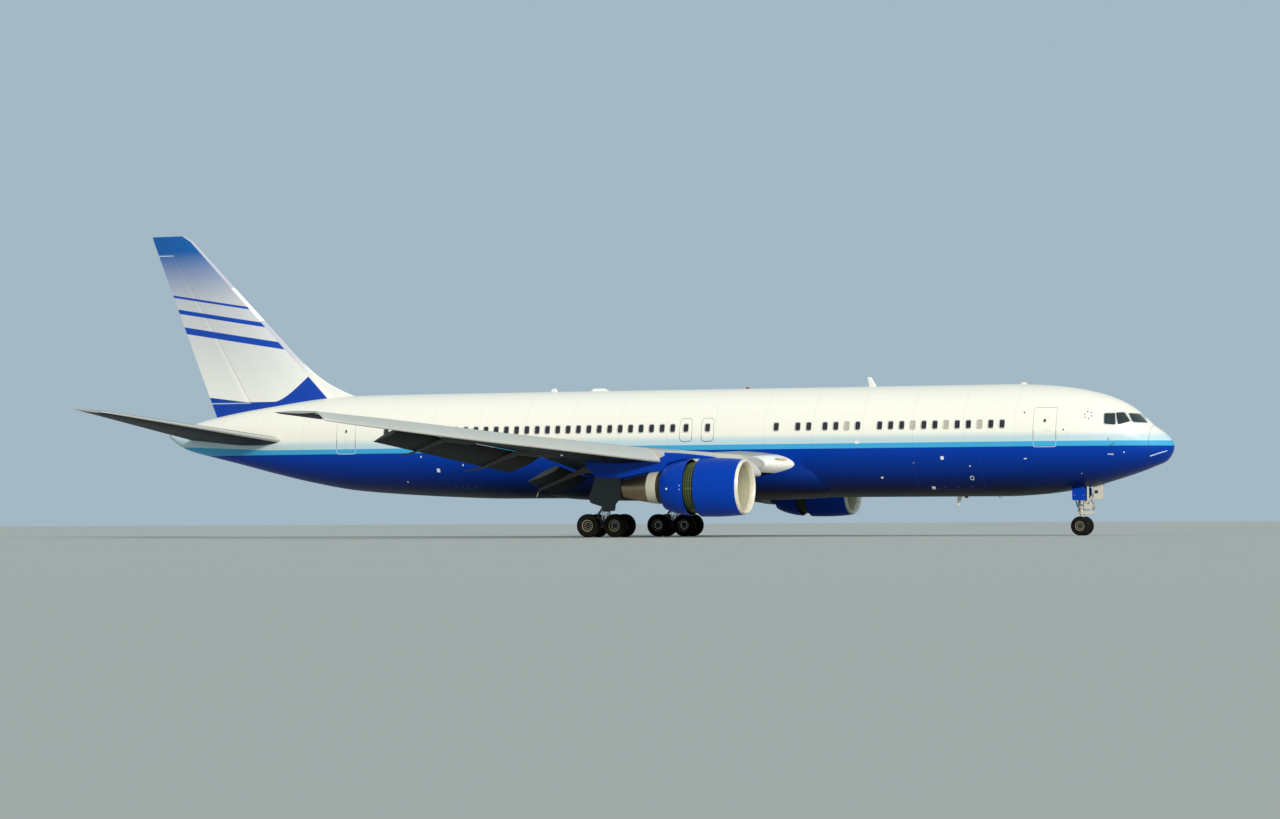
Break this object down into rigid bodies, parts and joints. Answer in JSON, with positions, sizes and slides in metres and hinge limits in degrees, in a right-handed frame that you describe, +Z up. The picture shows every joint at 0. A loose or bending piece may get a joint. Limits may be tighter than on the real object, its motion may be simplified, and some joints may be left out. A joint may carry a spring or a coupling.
{
  "type": "wide body airliner, 1:2 scale model",
  "caption": "Wide body twin-engine airliner on its landing gear, with slats, flaps and thrust reversers out, and turning wheels, fans and control surfaces.",
  "frame": {"origin": "on the ground, on the centre plane, under the middle of the overall length", "axes": "+X towards the nose, +Y to the aircraft's left, +Z up"},
  "size_m": [27.47, 23.785, 7.91],
  "materials": {
    "fuselage_paint": "gloss",
    "blue_paint": "gloss",
    "fin_paint": "gloss",
    "wing_skin": "satin",
    "slat_metal": "satin",
    "flap_paint": "satin",
    "bare_metal": "satin",
    "nozzle_metal": "satin",
    "cascade": "matte",
    "gear_paint": "satin",
    "door_paint": "satin",
    "fan_metal": "satin",
    "tyre": "matte"
  },
  "bodies": {
    "airframe": {"radome": "fuselage_paint", "nose_section": "fuselage_paint", "forward_fuselage": "fuselage_paint", "centre_fuselage": "fuselage_paint", "aft_fuselage": "fuselage_paint", "tail_section": "fuselage_paint", "tail_cone": "bare_metal", "wing_body_fairing": "blue_paint", "fin": "fin_paint", "nose_gear_leg": "gear_paint", "left_wing": "wing_skin", "left_inboard_slat": "slat_metal", "left_outboard_slat": "slat_metal", "left_inboard_flap": "flap_paint", "left_outboard_flap": "flap_paint", "left_fan_cowl": "blue_paint", "left_reverser_cascade": "cascade", "left_engine_core": "bare_metal", "left_exhaust_nozzle": "nozzle_metal", "left_pylon": "blue_paint", "left_tailplane": "wing_skin", "left_main_gear": "gear_paint", "left_leg_door": "door_paint", "left_nose_gear_door": "blue_paint", "right_wing": "wing_skin", "right_inboard_slat": "slat_metal", "right_outboard_slat": "slat_metal", "right_inboard_flap": "flap_paint", "right_outboard_flap": "flap_paint", "right_fan_cowl": "blue_paint", "right_reverser_cascade": "cascade", "right_engine_core": "bare_metal", "right_exhaust_nozzle": "nozzle_metal", "right_pylon": "blue_paint", "right_tailplane": "wing_skin", "right_main_gear": "gear_paint", "right_leg_door": "door_paint", "right_nose_gear_door": "blue_paint"},
    "nose_steering": {"nose_gear_steered_leg": "gear_paint"},
    "nose_wheels": {"nose_wheels": "tyre"},
    "rudder": {"rudder": "fin_paint"},
    "left_inboard_aileron": {"left_inboard_aileron": "wing_skin"},
    "left_outboard_aileron": {"left_outboard_aileron": "wing_skin"},
    "left_elevator": {"left_elevator": "wing_skin"},
    "left_reverser_sleeve": {"left_reverser_sleeve": "blue_paint"},
    "left_fan": {"left_fan": "fan_metal"},
    "left_front_main_wheels": {"left_front_main_wheels": "tyre"},
    "left_rear_main_wheels": {"left_rear_main_wheels": "tyre"},
    "right_inboard_aileron": {"right_inboard_aileron": "wing_skin"},
    "right_outboard_aileron": {"right_outboard_aileron": "wing_skin"},
    "right_elevator": {"right_elevator": "wing_skin"},
    "right_reverser_sleeve": {"right_reverser_sleeve": "blue_paint"},
    "right_fan": {"right_fan": "fan_metal"},
    "right_front_main_wheels": {"right_front_main_wheels": "tyre"},
    "right_rear_main_wheels": {"right_rear_main_wheels": "tyre"}
  },
  "joints": [
    {"name": "nose_steering", "type": "hinge", "parent": "airframe", "child": "nose_steering", "pos_m": [11.47, 0, 0.49], "axis": [0, 0, 1], "range_deg": [-65, 65]},
    {"name": "nose_wheels_spin", "type": "hinge", "parent": "nose_steering", "child": "nose_wheels", "pos_m": [11.47, 0, 0.23], "axis": [0, 1, 0], "continuous": true},
    {"name": "rudder_hinge", "type": "hinge", "parent": "airframe", "child": "rudder", "pos_m": [-11.9825, 0, 5.4425], "axis": [-0.5018, 0, 0.865], "range_deg": [-26, 26]},
    {"name": "left_elevator_hinge", "type": "hinge", "parent": "airframe", "child": "left_elevator", "pos_m": [-12.38399, 2.65, 2.91015], "axis": [0.3718, -0.9151, -0.1561], "range_deg": [-28, 20]},
    {"name": "left_inboard_aileron_hinge", "type": "hinge", "parent": "airframe", "child": "left_inboard_aileron", "pos_m": [-0.25517, 3.7625, 1.96476], "axis": [0.1439, -0.9811, -0.1291], "range_deg": [-20, 20]},
    {"name": "left_outboard_aileron_hinge", "type": "hinge", "parent": "airframe", "child": "left_outboard_aileron", "pos_m": [-2.83364, 9.6875, 2.66825], "axis": [0.4293, -0.8981, -0.0955], "range_deg": [-20, 20]},
    {"name": "left_reverser_slide", "type": "slide", "parent": "airframe", "child": "left_reverser_sleeve", "axis": [1, 0, 0], "range_m": [0, 0.2675]},
    {"name": "left_fan_spin", "type": "hinge", "parent": "airframe", "child": "left_fan", "pos_m": [3.635, 3.96, 1.19], "axis": [1, 0, 0], "continuous": true},
    {"name": "left_front_main_wheels_spin", "type": "hinge", "parent": "airframe", "child": "left_front_main_wheels", "pos_m": [0.4465, 2.325, 0.285], "axis": [0, 1, 0], "continuous": true},
    {"name": "left_rear_main_wheels_spin", "type": "hinge", "parent": "airframe", "child": "left_rear_main_wheels", "pos_m": [-0.2635, 2.325, 0.285], "axis": [0, 1, 0], "continuous": true},
    {"name": "right_elevator_hinge", "type": "hinge", "parent": "airframe", "child": "right_elevator", "pos_m": [-12.38399, -2.65, 2.91015], "axis": [-0.3718, -0.9151, 0.1561], "range_deg": [-28, 20]},
    {"name": "right_inboard_aileron_hinge", "type": "hinge", "parent": "airframe", "child": "right_inboard_aileron", "pos_m": [-0.25517, -3.7625, 1.96476], "axis": [-0.1439, -0.9811, 0.1291], "range_deg": [-20, 20]},
    {"name": "right_outboard_aileron_hinge", "type": "hinge", "parent": "airframe", "child": "right_outboard_aileron", "pos_m": [-2.83364, -9.6875, 2.66825], "axis": [-0.4293, -0.8981, 0.0955], "range_deg": [-20, 20]},
    {"name": "right_reverser_slide", "type": "slide", "parent": "airframe", "child": "right_reverser_sleeve", "axis": [1, 0, 0], "range_m": [0, 0.2675]},
    {"name": "right_fan_spin", "type": "hinge", "parent": "airframe", "child": "right_fan", "pos_m": [3.635, -3.96, 1.19], "axis": [1, 0, 0], "continuous": true},
    {"name": "right_front_main_wheels_spin", "type": "hinge", "parent": "airframe", "child": "right_front_main_wheels", "pos_m": [0.4465, -2.325, 0.285], "axis": [0, 1, 0], "continuous": true},
    {"name": "right_rear_main_wheels_spin", "type": "hinge", "parent": "airframe", "child": "right_rear_main_wheels", "pos_m": [-0.2635, -2.325, 0.285], "axis": [0, 1, 0], "continuous": true}
  ]
}
